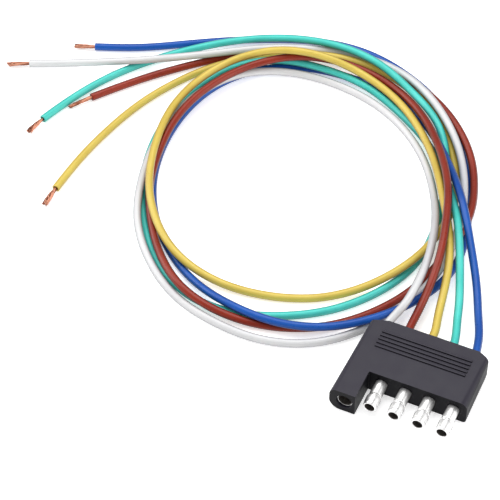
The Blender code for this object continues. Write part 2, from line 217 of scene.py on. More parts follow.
def makeVinyl(look):
    material, tree, shader = newMaterial("mouldedVinyl", 0.45, 0.0)
    grain = placeGroup(tree, grainGroup, Scale=look["grain"], Slow_Scale=140.0)
    edgeHighlightWear = placeGroup(tree, edgeHighlightWearGroup, Width=look["edgeWidth"], Breakup=700.0)
    base = mixColors(tree, grain.outputs["Slow"], look["color"], look["paleColor"])
    # Painted shade: the side walls get a darker colour than the top, by how far the normal turns from up, and
    # a lower shine.
    geometry = addNode(tree, "ShaderNodeNewGeometry")
    split = addNode(tree, "ShaderNodeSeparateXYZ")
    tree.links.new(geometry.outputs["Normal"], split.inputs["Vector"])
    upward = mapRange(tree, split.outputs["Z"], 0.2, 0.8, 0.0, 1.0)
    base = mixColors(tree, upward, look["wallShadeColor"], base)
    tree.links.new(mapRange(tree, upward, 0.0, 1.0, *look["shine"]), shader.inputs["Specular IOR Level"])
    # Painted highlight along the edges, broken up by noise like rubbed wear.
    color = mixColors(tree, edgeHighlightWear.outputs["Mask"], base, look["edgeHighlightColor"])
    tree.links.new(color, shader.inputs["Base Color"])
    rough = mapRange(tree, grain.outputs["Slow"], 0.3, 0.7, *look["roughness"])
    tree.links.new(rough, shader.inputs["Roughness"])
    addBump(tree, shader, grain.outputs["Fine"], 0.35, 0.03 * mm)
    return material


platingLook = {
    "color": (0.88, 0.875, 0.87),
    "dullColor": (0.78, 0.775, 0.77),
    # The side colour is painted shade for the sides that turn away from the eye.
    "paintedSideShade": (0.03, 0.03, 0.035),
    "roughness": (0.28, 0.40),
    "metallic": 0.84,
    "sideShadeRange": (0.56, 0.86),
    "turning": 5200.0,
}


def makePlating(look):
    # Bright tin plating: the turning marks run round the contact, so the pattern is stretched round its axis.
    material, tree, shader = newMaterial("tinPlating", 0.3, look["metallic"])
    grain = placeGroup(tree, grainGroup, Scale=900.0, Slow_Scale=260.0)
    place = addNode(tree, "ShaderNodeTexCoord")
    stretch = addNode(tree, "ShaderNodeMapping")
    stretch.inputs["Scale"].default_value = (0.04, 1.0, 0.04)
    tree.links.new(place.outputs["Object"], stretch.inputs["Vector"])
    turning = noiseNode(tree, stretch.outputs["Vector"], look["turning"], 2.0)
    dull = mapRange(tree, grain.outputs["Slow"], 0.45, 0.75, 0.0, 0.8)
    face = mixColors(tree, dull, look["color"], look["dullColor"])
    color = paintSideShade(tree, face, look["paintedSideShade"], look["sideShadeRange"])
    tree.links.new(color, shader.inputs["Base Color"])
    rough = mapRange(tree, grain.outputs["Fine"], 0.3, 0.75, *look["roughness"])
    tree.links.new(rough, shader.inputs["Roughness"])
    addBump(tree, shader, turning, 0.10, 0.01 * mm)
    return material


# The bore colours are painted shade inside the contacts' holes.
boreShadeLook = {"color": (0.10, 0.092, 0.086), "paleColor": (0.20, 0.18, 0.16), "roughness": 0.6}


def makeBoreShade(look):
    # Painted shade: a dark, dull metal colour inside the contacts, where shade falls.
    material, tree, shader = newMaterial("paintedBoreShade", look["roughness"], 0.55)
    grain = placeGroup(tree, grainGroup, Scale=1500.0, Slow_Scale=400.0)
    color = mixColors(tree, grain.outputs["Fine"], look["color"], look["paleColor"])
    tree.links.new(color, shader.inputs["Base Color"])
    addBump(tree, shader, grain.outputs["Fine"], 0.4, 0.03 * mm)
    return material


copperLook = {
    "color": (0.66, 0.31, 0.205),
    "darkColor": (0.21, 0.068, 0.040),
    # The side colour is painted shade for the sides that turn away from the eye.
    "paintedSideShade": (0.05, 0.016, 0.010),
    "sideShadeRange": (0.45, 0.9),
    "roughness": (0.25, 0.45),
}


def makeCopper(look):
    material, tree, shader = newMaterial("bareCopper", 0.32, 1.0)
    geometry = addNode(tree, "ShaderNodeNewGeometry")
    grain = placeGroup(tree, grainGroup, Scale=1800.0, Slow_Scale=500.0)
    tarnish = mathNode(tree, "ADD", geometry.outputs["Random Per Island"], grain.outputs["Slow"])
    tarnish = mapRange(tree, tarnish, 0.6, 1.4, 0.0, 1.0)
    face = mixColors(tree, tarnish, look["color"], look["darkColor"])
    color = paintSideShade(tree, face, look["paintedSideShade"], look["sideShadeRange"])
    tree.links.new(color, shader.inputs["Base Color"])
    rough = mapRange(tree, grain.outputs["Fine"], 0.3, 0.7, *look["roughness"])
    tree.links.new(rough, shader.inputs["Roughness"])
    addBump(tree, shader, grain.outputs["Fine"], 0.2, 0.01 * mm)
    return material


insulationLook = {
    "roughness": (0.26, 0.40),
    "shine": 0.28,
    "sideShadeRange": (0.20, 0.78),
    "lineCount": 22.0,
}
# Each wire's side colour is painted shade for its sides that turn away from the eye.
insulationColors = {
    "white": {"clear": (0.66, 0.66, 0.665), "deep": (0.62, 0.62, 0.63), "side": (0.24, 0.24, 0.26)},
    "brown": {"clear": (0.27, 0.027, 0.011), "deep": (0.22, 0.020, 0.008), "side": (0.060, 0.006, 0.003)},
    "yellow": {"clear": (0.65, 0.50, 0.10), "deep": (0.59, 0.44, 0.08), "side": (0.28, 0.175, 0.020)},
    "green": {"clear": (0.075, 0.60, 0.53), "deep": (0.055, 0.52, 0.455), "side": (0.010, 0.17, 0.15)},
    "blue": {"clear": (0.010, 0.092, 0.41), "deep": (0.007, 0.072, 0.35), "side": (0.003, 0.018, 0.11)},
}


def makeExtrusionGroup():
    # Faint die lines along a drawn wire and scuffs across it. Its UV map's U runs round, V along in metres.
    group, source, result = newGroup(
        "extrusionMarks", {"Line Count": 22.0}, ["Lines", "Blotch", "Scuff"])
    own = addNode(group, "ShaderNodeUVMap", uv_map="lead")
    split = addNode(group, "ShaderNodeSeparateXYZ")
    group.links.new(own.outputs["UV"], split.inputs["Vector"])
    turn = mathNode(group, "MULTIPLY", split.outputs["X"], math.tau)
    ring = addNode(group, "ShaderNodeCombineXYZ")
    group.links.new(mathNode(group, "COSINE", turn), ring.inputs["X"])
    group.links.new(mathNode(group, "SINE", turn), ring.inputs["Y"])
    group.links.new(mathNode(group, "MULTIPLY", split.outputs["Y"], 12.0), ring.inputs["Z"])
    scaled = mathNode(group, "MULTIPLY", source.outputs["Line Count"], 0.25)
    place = addNode(group, "ShaderNodeTexCoord").outputs["Object"]
    for title, noise in (
            ("Lines", noiseNode(group, ring.outputs["Vector"], scaled, 2.0)),
            ("Blotch", noiseNode(group, place, 90.0, 3.0)),
            ("Scuff", noiseNode(group, place, 1400.0, 5.0, 0.65))):
        group.links.new(noise, result.inputs[title])
    return group


extrusionGroup = makeExtrusionGroup()


def makeInsulation(name, colors, look):
    material, tree, shader = newMaterial(f"insulation_{name}", 0.4, 0.0, Specular_IOR_Level=look["shine"])
    marks = placeGroup(tree, extrusionGroup, Line_Count=look["lineCount"])
    tone = mapRange(tree, marks.outputs["Blotch"], 0.35, 0.7, 0.0, 1.0)
    face = mixColors(tree, tone, colors["clear"], colors["deep"])
    # The side colour is painted shade on the sides turned away from the eye.
    color = paintSideShade(tree, face, colors["side"], look["sideShadeRange"])
    tree.links.new(color, shader.inputs["Base Color"])
    rough = mapRange(tree, marks.outputs["Scuff"], 0.35, 0.7, *look["roughness"])
    tree.links.new(rough, shader.inputs["Roughness"])
    scuff = mathNode(tree, "MULTIPLY", marks.outputs["Scuff"], 0.25)
    relief = mathNode(tree, "ADD", marks.outputs["Lines"], scuff)
    addBump(tree, shader, relief, 0.15, 0.03 * mm)
    return material


vinyl = makeVinyl(vinylLook)
plating = makePlating(platingLook)
boreShade = makeBoreShade(boreShadeLook)
copper = makeCopper(copperLook)
insulations = {
    name: makeInsulation(name, colors, insulationLook) for name, colors in insulationColors.items()}
print("materials made")


# Leads: each lies along a smooth curve through the same points as its CAD solid, in millimetres

leadShape = {
    "exitPitch": 9.2 * mm,
    "exitMiddleX": -0.65 * mm,
    "diameter": 3.3 * mm,
    "boreDepth": 1.6 * mm,       # how far the bare strands can be seen inside the cut end
    "conductor": 1.9 * mm,
    "startY": 13.0 * mm,
    "spacing": 1.3 * mm,
    "sides": 20,
    "floorGap": 0.02 * mm,
}

leadRoutes = {
    "white": [
        (-18, 24, 5.8), (-15.5, 31, 8.2), (-14.5, 42, 9.6), (-15.5, 56, 9.2), (-20, 76, 7.8),
        (-27.5, 95, 3.8), (-38, 112.5, 2), (-52.5, 127, 1.8), (-70.5, 137, 1.8), (-90.5, 141.5, 1.7),
        (-111, 139.5, 2.4), (-128, 128.5, 4.4), (-139, 111, 5.2), (-143.5, 91, 5), (-143, 70.5, 5),
        (-138.5, 50.5, 5.4), (-130.5, 31.5, 4.4), (-117.5, 15.5, 3.4), (-101, 4, 2), (-81, -2, 1.8),
        (-60.5, -2.5, 1.7), (-41.5, 4.5, 1.7), (-27, 18.5, 1.7), (-17, 36, 1.8), (-11, 55.5, 3.6),
        (-10.5, 77, 8), (-15, 96, 7.2), (-22.5, 114.5, 5.8), (-34, 131.5, 6.4), (-49.5, 145.5, 7.6),
        (-67, 155.5, 6.4), (-87.5, 158.5, 5.4), (-107.5, 154.5, 5.2), (-126.5, 146, 5.4),
        (-143.5, 135, 5.4), (-161, 123.5, 5.4), (-179, 113.5, 5), (-198, 106.5, 2.6), (-217, 98.5, 1.7),
    ],
    "brown": [
        (-10, 24.5, 5.2), (-10, 32.5, 5.6), (-10, 43, 7.8), (-11, 56.5, 11.4), (-15.5, 76, 13.2),
        (-22, 95, 12), (-31.5, 112.5, 10.4), (-43, 128.5, 7.8), (-57.5, 142, 5.4), (-75.5, 150, 5),
        (-95.5, 149, 7.6), (-113.5, 141, 9), (-128, 127.5, 8.2), (-137, 109.5, 8.2), (-141, 90, 7.4),
        (-139.5, 70, 6.4), (-134.5, 51, 5.4), (-125, 33, 4.6), (-113, 17.5, 5.2), (-97, 5.5, 5.4),
        (-77.5, 2, 3.4), (-58, 5.5, 1.8), (-40, 14.5, 1.7), (-26.5, 28.5, 1.7), (-17, 46, 1.7),
        (-12, 65.5, 2.6), (-9.5, 85, 5.4), (-13.5, 104.5, 4.6), (-22, 122.5, 4.6), (-35, 137.5, 5.4),
        (-51, 149.5, 4.6), (-69, 157.5, 3), (-89, 159.5, 1.8), (-108.5, 155.5, 1.8), (-126.5, 147, 1.8),
        (-143, 135.5, 1.7), (-157.5, 121.5, 1.8), (-170.5, 106.5, 1.8), (-182.5, 90.5, 1.7),
    ],
    "yellow": [
        (-0.5, 24.5, 5), (-2, 32.5, 4.8), (-4, 43, 5.8), (-7, 57, 9), (-14, 75, 9.8), (-23.5, 93, 8.8),
        (-33.5, 110.5, 7), (-46, 126.5, 5.6), (-61.5, 139.5, 5.4), (-80.5, 146.5, 7.4),
        (-100, 145.5, 11.6), (-119, 139.5, 12.2), (-135, 128, 8.8), (-143.5, 109.5, 7.6),
        (-144.5, 89.5, 9), (-141, 69.5, 9.8), (-134.5, 50.5, 9), (-123.5, 33.5, 8), (-108, 21, 6),
        (-88.5, 16.5, 3), (-68.5, 18.5, 1.8), (-50, 25.5, 1.7), (-34, 38, 3.2), (-22.5, 54.5, 5.6),
        (-18, 74, 4.4), (-18.5, 94, 2.6), (-24.5, 113, 1.7), (-35, 130.5, 1.7), (-49.5, 144.5, 3),
        (-67.5, 152.5, 4.4), (-87.5, 155, 5.2), (-107.5, 150.5, 5.4), (-126, 142.5, 3.8),
        (-142, 130.5, 2), (-153.5, 114, 1.7), (-161.5, 95.5, 1.8), (-166.5, 76, 1.8), (-169.5, 56, 1.7),
        (-170.5, 36, 1.7),
    ],
    "green": [
        (8, 24.5, 5), (5, 35.5, 4.6), (3, 42.5, 5.2), (-1.5, 55, 8), (-9.5, 74, 11.6),
        (-18.5, 91.5, 9.2), (-29, 108.5, 5.2), (-42.5, 124.5, 2.4), (-59, 136.5, 1.7),
        (-77.5, 144, 3.4), (-97.5, 145.5, 4.6), (-118, 141.5, 5.2), (-134.5, 130.5, 3.4),
        (-144, 112.5, 1.7), (-147, 92.5, 1.7), (-145, 72, 1.7), (-139, 52.5, 1.7), (-129, 34.5, 1.7),
        (-116, 18.5, 1.7), (-99, 7.5, 1.7), (-79, 5, 1.7), (-59.5, 11, 1.7), (-42.5, 22, 1.7),
        (-29.5, 37.5, 1.7), (-21.5, 56.5, 1.7), (-20.5, 77, 1.8), (-24, 97, 1.7), (-30, 116.5, 2.8),
        (-40.5, 133, 5.6), (-57.5, 145.5, 7.2), (-75.5, 154, 8.8), (-96, 157, 9.2), (-116, 155.5, 7.2),
        (-135.5, 149, 4.8), (-152.5, 138.5, 2.8), (-167.5, 124.5, 1.7), (-179.5, 108, 1.7),
        (-188.5, 89.5, 1.7), (-195, 70, 1.7),
    ],
    "blue": [
        (17, 24.5, 4.8), (15, 32.5, 4), (11.5, 41.5, 3.4), (6, 54.5, 4.2), (-3.5, 72, 8.6),
        (-13.5, 89, 12), (-24.5, 106.5, 8.8), (-36.5, 122.5, 5.8), (-50.5, 136.5, 2.6),
        (-68.5, 145.5, 1.7), (-89, 148, 1.7), (-108.5, 145, 1.7), (-126, 134.5, 1.7),
        (-137.5, 117.5, 1.7), (-142, 98, 1.7), (-141.5, 78, 1.7), (-136.5, 58, 1.7), (-127, 40, 1.7),
        (-113.5, 25, 1.7), (-97, 13.5, 2.4), (-78, 6, 5.2), (-58, 5, 5.4), (-39, 11.5, 4.8),
        (-23.5, 23.5, 5.2), (-12, 40.5, 4.2), (-6.5, 60, 2.4), (-8, 80.5, 1.7), (-14, 99.5, 1.8),
        (-22.5, 118.5, 1.7), (-34, 135.5, 1.8), (-48, 150, 1.7), (-65.5, 160, 1.7), (-85, 165.5, 1.7),
        (-105, 164.5, 1.7), (-124.5, 158, 1.7), (-142.5, 149, 1.7), (-160, 138.5, 1.7),
        (-177.5, 128, 1.7), (-196, 120, 1.7),
    ],
}

contactNodes = {name: f"bullet_terminal_{name}" for name in ("brown", "yellow", "green", "blue")}
contactNodes["white"] = "socket_terminal_white"


def exitOf(name, shape):
    # The wires leave the rear a little closer together than the contacts stand.
    way = list(leadRoutes).index(name) - 2
    return shape["exitMiddleX"] + way * shape["exitPitch"]


def axisOf(name):
    low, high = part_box(contactNodes[name])
    return (low.x + high.x) / 2, (low.z + high.z) / 2


def smoothCurve(points, spacing):
    # Natural cubic spline through the points, read evenly from end to end.
    knots = np.array(points)
    at = np.concatenate([[0], np.cumsum(np.linalg.norm(np.diff(knots, axis=0), axis=1))])
    step = np.diff(at)
    last = len(knots) - 1
    system = np.eye(last + 1)
    bend = np.zeros((last + 1, 3))
    for i in range(1, last):
        system[i, i - 1:i + 2] = step[i - 1], 2 * (step[i - 1] + step[i]), step[i]
        bend[i] = 6 * ((knots[i + 1] - knots[i]) / step[i] - (knots[i] - knots[i - 1]) / step[i - 1])
    curvature = np.linalg.solve(system, bend)
    fine = np.linspace(0, at[-1], 4000)
    i = np.clip(np.searchsorted(at, fine, side="right") - 1, 0, last - 1)
    width = step[i][:, None]
    ahead = (fine - at[i])[:, None]
    behind = width - ahead
    curve = (
        (curvature[i] * behind**3 + curvature[i + 1] * ahead**3) / (6 * width)
        + (knots[i] / width - curvature[i] * width / 6) * behind
        + (knots[i + 1] / width - curvature[i + 1] * width / 6) * ahead)
    run = np.concatenate([[0], np.cumsum(np.linalg.norm(np.diff(curve, axis=0), axis=1))])
    even = np.linspace(0, run[-1], int(run[-1] / spacing) + 1)
    return np.stack([np.interp(even, run, curve[:, axis]) for axis in range(3)], axis=1)


def framesAlong(path):
    # A direction and two steady cross directions at every point, carried along without twisting.
    ahead = np.gradient(path, axis=0)
    ahead /= np.linalg.norm(ahead, axis=1)[:, None]
    side = np.cross(ahead[0], (0, 0, 1))
    sides = []
    for direction in ahead:
        side = side - direction * (side @ direction)
        side = side / np.linalg.norm(side)
        sides.append(side)
    sides = np.array(sides)
    return ahead, sides, np.cross(ahead, sides)


def linkMesh(name, verts, faces, materials=()):
    mesh = bpy.data.meshes.new(name)
    mesh.from_pydata([tuple(v) for v in verts], [], faces)
    for material in materials:
        mesh.materials.append(material)
    mesh.update()
    piece = bpy.data.objects.new(name, mesh)
    scene.collection.objects.link(piece)
    return piece


def linkBmesh(name, bm):
    mesh = bpy.data.meshes.new(name)
    bm.to_mesh(mesh)
    bm.free()
    made = bpy.data.objects.new(name, mesh)
    scene.collection.objects.link(made)
    return made


def makeLeadMesh(name, path, material, shape):
    # Stations: (distance along the path, radius). The far end is cut square and left open round the strands.
    radius = shape["diameter"] / 2
    bore = shape["conductor"] / 2
    ahead, sides, ups = framesAlong(path)
    run = np.concatenate([[0], np.cumsum(np.linalg.norm(np.diff(path, axis=0), axis=1))])
    total = run[-1]
    lip = 0.12 * mm
    stations = [(0, 0.6 * radius)] + [(s, radius) for s in run[:-1] if s < total - lip]
    stations += [(total - lip, radius), (total - 0.03 * mm, radius - 0.6 * lip), (total, radius - lip)]
    stations += [(total, bore + lip), (total - lip, bore), (total - shape["boreDepth"], bore)]
    count = shape["sides"]
    around = np.linspace(0, math.tau, count, endpoint=False)
    verts = []
    for distance, size in stations:
        centre = [np.interp(distance, run, path[:, axis]) for axis in range(3)]
        side = np.array([np.interp(distance, run, sides[:, axis]) for axis in range(3)])
        up = np.array([np.interp(distance, run, ups[:, axis]) for axis in range(3)])
        ring = np.outer(np.cos(around), side) + np.outer(np.sin(around), up)
        verts.extend(np.array(centre) + ring * size)
    faces = []
    uvs = []
    for i in range(len(stations) - 1):
        for j in range(count):
            k = (j + 1) % count
            faces.append((i * count + j, i * count + k, (i + 1) * count + k, (i + 1) * count + j))
            uvs.extend([
                (j / count, stations[i][0]), ((j + 1) / count, stations[i][0]),
                ((j + 1) / count, stations[i + 1][0]), (j / count, stations[i + 1][0])])
    for first, backwards in ((0, True), ((len(stations) - 1) * count, False)):
        loop = list(range(first, first + count))
        faces.append(tuple(reversed(loop)) if backwards else tuple(loop))
        uvs.extend([(0.5, 0.0)] * count)
    piece = linkMesh(f"lead_{name}", verts, faces, [material])
    layer = piece.data.uv_layers.new(name="lead")
    layer.data.foreach_set("uv", np.array(uvs, np.float32).ravel())
    finishNormals(piece)
    piece.data.shade_smooth()
    piece.data.set_sharp_from_angle(angle=math.radians(50))
    return piece


def finishNormals(piece):
    bm = bmesh.new()
    bm.from_mesh(piece.data)
    bmesh.ops.recalc_face_normals(bm, faces=bm.faces)
    bm.to_mesh(piece.data)
    bm.free()


# Geometry Nodes helpers

def newTree(name, inputs):
    tree = bpy.data.node_groups.new(name, "GeometryNodeTree")
    tree.interface.new_socket(name="Geometry", in_out="INPUT", socket_type="NodeSocketGeometry")
    sockets = {}
    for title, value in inputs.items():
        kind = "NodeSocketInt" if isinstance(value, int) else "NodeSocketFloat"
        socket = tree.interface.new_socket(name=title, in_out="INPUT", socket_type=kind)
        socket.default_value = value
        sockets[title] = socket.identifier
    tree.interface.new_socket(name="Geometry", in_out="OUTPUT", socket_type="NodeSocketGeometry")
    return tree, sockets, addNode(tree, "NodeGroupInput"), addNode(tree, "NodeGroupOutput")


def finishTree(tree, geometry, material, result):
    real = addNode(tree, "GeometryNodeRealizeInstances")
    tree.links.new(geometry, real.inputs[0])
    paint = addNode(tree, "GeometryNodeSetMaterial")
    paint.inputs["Material"].default_value = material
    tree.links.new(real.outputs[0], paint.inputs["Geometry"])
    tree.links.new(paint.outputs["Geometry"], result.inputs["Geometry"])


def bakeTree(name, host, tree, sockets, values, material):
    # Runs the tree on the host, keeps the result as a plain mesh object and removes the host.
    modifier = host.modifiers.new(tree.name, "NODES")
    modifier.node_group = tree
    for title, value in values.items():
        modifier[sockets[title]] = value
    bpy.context.view_layer.update()
    evaluated = host.evaluated_get(bpy.context.evaluated_depsgraph_get())
    mesh = bpy.data.meshes.new_from_object(evaluated)
    mesh.name = name
    bpy.data.objects.remove(host)
    piece = bpy.data.objects.new(name, mesh)
    scene.collection.objects.link(piece)
    if not mesh.materials:
        mesh.materials.append(material)
    return piece


def vectorMath(tree, operation, first, second=None, scale=None):
    node = addNode(tree, "ShaderNodeVectorMath", operation=operation)
    tree.links.new(first, node.inputs[0])
    if second is not None:
        tree.links.new(second, node.inputs[1])
    if scale is not None:
        tree.links.new(scale, node.inputs["Scale"])
    return node.outputs["Vector"]


strandShape = {"count": 20, "strandRadius": 0.20 * mm, "bundleRadius": 0.78 * mm, "uneven": 0.4 * mm}

# How each bare end was twisted, pressed and cut. Flat is across over thick, split parts it into two lobes.
bareEnds = {
    "white": {"turns": 0.35, "flare": 0.15, "flat": 0.6, "split": 0.20 * mm, "slant": 0.7, "narrow": 0.9},
    "brown": {"turns": 1.1, "flare": -0.05, "flat": 0.9, "split": 0.0, "slant": 0.3, "narrow": 0.95},
    "yellow": {"turns": 0.45, "flare": 0.25, "flat": 0.75, "split": 0.24 * mm, "slant": 0.1, "narrow": 0.75},
    "green": {"turns": 0.7, "flare": 0.35, "flat": 0.8, "split": 0.15 * mm, "slant": 0.25, "narrow": 0.62},
    "blue": {"turns": 0.5, "flare": 0.12, "flat": 0.7, "split": 0.22 * mm, "slant": 0.0, "narrow": 0.8},
}


def makeStrandTree(material):
    tree, sockets, source, result = newTree("twistedStrands", {
        "Strand Count": 26, "Strand Radius": 0.00017, "Bundle Radius": 0.0008, "Turns": 0.8,
        "Flare": 0.2, "Flat": 0.8, "Split": 0.0, "Slant": 0.0, "Narrow": 0.9, "Uneven": 0.0003, "Seed": 1})
    given = source.outputs
    line = addNode(tree, "GeometryNodeMeshToCurve")
    resample = addNode(tree, "GeometryNodeResampleCurve")
    resample.inputs["Count"].default_value = 36
    copies = addNode(tree, "GeometryNodeDuplicateElements", domain="SPLINE")
    tree.links.new(given["Geometry"], line.inputs[0])
    tree.links.new(line.outputs[0], resample.inputs["Curve"])
    tree.links.new(resample.outputs["Curve"], copies.inputs["Geometry"])
    tree.links.new(given["Strand Count"], copies.inputs["Amount"])

    def times(first, second):
        return mathNode(tree, "MULTIPLY", first, second)

    def plus(first, second):
        return mathNode(tree, "ADD", first, second)

    # The strands fill the bundle's disc by the golden angle and turn together along its length.
    index = copies.outputs["Duplicate Index"]
    along = addNode(tree, "GeometryNodeSplineParameter").outputs["Factor"]
    share = mathNode(tree, "DIVIDE", plus(index, 0.5), given["Strand Count"])
    flare = times(given["Flare"], times(along, along))
    freed = mapRange(tree, along, 0.15, 0.55, 0.0, 1.0)
    narrow = mathNode(tree, "SUBTRACT", 1.0, given["Narrow"])
    width = plus(times(narrow, freed), given["Narrow"])
    reach = times(mathNode(tree, "SQRT", share), given["Bundle Radius"])
    reach = times(reach, plus(flare, width))
    goldenAngle = math.pi * (3 - math.sqrt(5))
    turned = times(times(along, given["Turns"]), math.tau)
    angle = plus(times(index, goldenAngle), turned)
    level = addNode(tree, "ShaderNodeCombineXYZ")
    level.inputs["Z"].default_value = 1.0
    tangent = addNode(tree, "GeometryNodeInputTangent").outputs["Tangent"]
    across = vectorMath(tree, "CROSS_PRODUCT", tangent, level.outputs["Vector"])
    across = vectorMath(tree, "NORMALIZE", across)
    upward = vectorMath(tree, "CROSS_PRODUCT", across, tangent)
    cosine = mathNode(tree, "COSINE", angle)
    lobe = times(times(mathNode(tree, "SIGN", cosine), given["Split"]), freed)
    sideways = plus(times(cosine, reach), lobe)
    flattened = times(freed, mathNode(tree, "SUBTRACT", 1.0, given["Flat"]))
    pressed = mathNode(tree, "SUBTRACT", 1.0, flattened)
    height = times(times(mathNode(tree, "SINE", angle), reach), pressed)
    random = addNode(tree, "FunctionNodeRandomValue", data_type="FLOAT")
    random.inputs[2].default_value = -1.0
    random.inputs[3].default_value = 0.4
    tree.links.new(index, random.inputs["ID"])
    tree.links.new(given["Seed"], random.inputs["Seed"])
    longer = times(random.outputs[1], given["Uneven"])
    longer = plus(longer, times(sideways, given["Slant"]))
    longer = times(longer, mathNode(tree, "POWER", along, 4.0))
    offset = vectorMath(tree, "SCALE", across, scale=sideways)
    offset = vectorMath(tree, "ADD", offset, vectorMath(tree, "SCALE", upward, scale=height))
    offset = vectorMath(tree, "ADD", offset, vectorMath(tree, "SCALE", tangent, scale=longer))
    move = addNode(tree, "GeometryNodeSetPosition")
    tree.links.new(copies.outputs["Geometry"], move.inputs["Geometry"])
    tree.links.new(offset, move.inputs["Offset"])

    circle = addNode(tree, "GeometryNodeCurvePrimitiveCircle")
    circle.inputs["Resolution"].default_value = 8
    tree.links.new(given["Strand Radius"], circle.inputs["Radius"])
    sweep = addNode(tree, "GeometryNodeCurveToMesh")
    sweep.inputs["Fill Caps"].default_value = True
    tree.links.new(move.outputs["Geometry"], sweep.inputs["Curve"])
    tree.links.new(circle.outputs["Curve"], sweep.inputs["Profile Curve"])
    finishTree(tree, sweep.outputs["Mesh"], material, result)
    return tree, sockets


strandTree, strandSockets = makeStrandTree(copper)
copperTips = {
    "white": (-225.5, 94.4, 1.3), "brown": (-188.4, 81.6, 1.3), "yellow": (-170.5, 26.4, 1.3),
    "green": (-196.9, 61.1, 1.3), "blue": (-204.7, 117.2, 1.3),
}


def makeStrands(name, path, seed, shape):
    end = Vector(path[-1])
    ahead = (end - Vector(path[-4])).normalized()
    tip = Vector(copperTips[name]) * mm
    start = end - ahead * leadShape["boreDepth"] * 0.9
    control = end + ahead * (tip - end).length * 0.55
    steps = 24
    points = []
    for step in range(steps + 1):
        t = step / steps
        points.append(start * (1 - t)**2 + control * (2 * t * (1 - t)) + tip * t**2)
    mesh = bpy.data.meshes.new("strandLine")
    mesh.from_pydata([tuple(p) for p in points], [(i, i + 1) for i in range(steps)], [])
    host = bpy.data.objects.new("strandLine", mesh)
    scene.collection.objects.link(host)
    values = {
        "Strand Count": shape["count"], "Strand Radius": shape["strandRadius"],
        "Bundle Radius": shape["bundleRadius"], "Uneven": shape["uneven"], "Seed": seed}
    values.update({title.title(): value for title, value in bareEnds[name].items()})
    piece = bakeTree(f"strands_{name}", host, strandTree, strandSockets, values, copper)
    finishNormals(piece)
    piece.data.shade_smooth()
    piece.data.set_sharp_from_angle(angle=math.radians(60))
    return piece


for seed, (name, route) in enumerate(leadRoutes.items(), start=1):
    axisX, axisZ = exitOf(name, leadShape), axisOf(name)[1]
    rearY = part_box("housing")[1].y
    knots = [(axisX, leadShape["startY"], axisZ), (axisX, rearY, axisZ)]
    knots += [tuple(value * mm for value in point) for point in route]
    path = smoothCurve(knots, leadShape["spacing"])
    path[:, 2] = np.maximum(path[:, 2], leadShape["diameter"] / 2 + leadShape["floorGap"])
    lead = makeLeadMesh(name, path, insulations[name], leadShape)
    strands = makeStrands(name, path, seed, strandShape)
    for piece, node, slotName in (
            (lead, f"wire_{name}", f"insulation_{name}"), (strands, f"copper_end_{name}", "bare_copper")):
        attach(piece, "root")
        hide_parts(node)
print("leads laid")


# Contacts: profiles of (radius, y) points, each corner with its own rounding

def roundedPoints(points, closed=False, steps=5):
    # points are (u, v, rounding); a rounded corner becomes an arc that touches both of its sides.
    out = []
    for i, (u, v, rounding) in enumerate(points):
        if rounding <= 0 or (not closed and i in (0, len(points) - 1)):
            out.append((u, v))
            continue
        here = Vector((u, v))
        before = Vector(points[i - 1][:2]) - here
        after = Vector(points[(i + 1) % len(points)][:2]) - here
        reach = min(rounding / math.tan(before.angle(after) / 2), before.length * 0.49, after.length * 0.49)
        start = here + before.normalized() * reach
        end = here + after.normalized() * reach
        for step in range(steps + 1):
            t = step / steps
            out.append(tuple(start * (1 - t)**2 + here * (2 * t * (1 - t)) + end * t**2))
    return out


def spinProfile(name, profile, axisX, axisZ, materials, pickMaterial, sides=72):
    angles = np.linspace(0, math.tau, sides, endpoint=False)
    verts = []
    rings = []
    for radius, y in profile:
        if radius < 1e-7:
            rings.append([len(verts)])
            verts.append((axisX, y, axisZ))
            continue
        ring = []
        for a in angles:
            ring.append(len(verts))
            verts.append((axisX + radius * math.cos(a), y, axisZ + radius * math.sin(a)))
        rings.append(ring)
    faces = []
    indices = []
    count = len(angles)
    for number, (near, far) in enumerate(zip(rings, rings[1:])):
        for j in range(count):
            k = (j + 1) % count
            if len(near) == 1:
                face = (near[0], far[j], far[k])
            elif len(far) == 1:
                face = (near[j], far[0], near[k])
            else:
                face = (near[j], far[j], far[k], near[k])
            faces.append(face)
            indices.append(pickMaterial(number, profile))
    piece = linkMesh(name, verts, faces, materials)
    piece.data.polygons.foreach_set("material_index", indices)
    finishNormals(piece)
    piece.data.shade_smooth()
    piece.data.set_sharp_from_angle(angle=math.radians(40))
    return piece


contactShape = {
    "headRadius": 2.8 * mm, "ring": 0.14 * mm, "waistRadius": 2.15 * mm, "shankRadius": 2.5 * mm,
    "tipRadius": 2.4 * mm,
    "holeRadius": 1.95 * mm, "holeDepth": 7.0 * mm, "shoulderRadius": 3.1 * mm, "waistShare": 0.44,
    "neckRadius": 1.7 * mm, "barrelRadius": 2.1 * mm, "barrelBore": 1.25 * mm, "barrelFront": 3.0 * mm,
    "barrelRear": 12.4 * mm, "bulletLength": 11.9 * mm, "shoulderSpan": (1.6 * mm, 2.8 * mm),
    "socketRecess": 1.1 * mm,
    "socketOuter": 3.15 * mm, "socketInner": 2.8 * mm, "socketLength": 11.4 * mm, "slit": 0.5 * mm,
}


def crimpPoints(shape):
    front, rear = shape["barrelFront"], shape["barrelRear"]
    step = 0.4 * mm
    return [
        (shape["neckRadius"], front - step, 0.2 * mm), (shape["barrelRadius"], front, 0.2 * mm),
        (shape["barrelRadius"], rear, 0.12 * mm), (shape["barrelBore"], rear, 0.12 * mm),
        (shape["barrelBore"], front + step, 0), (0, front + step, 0)]


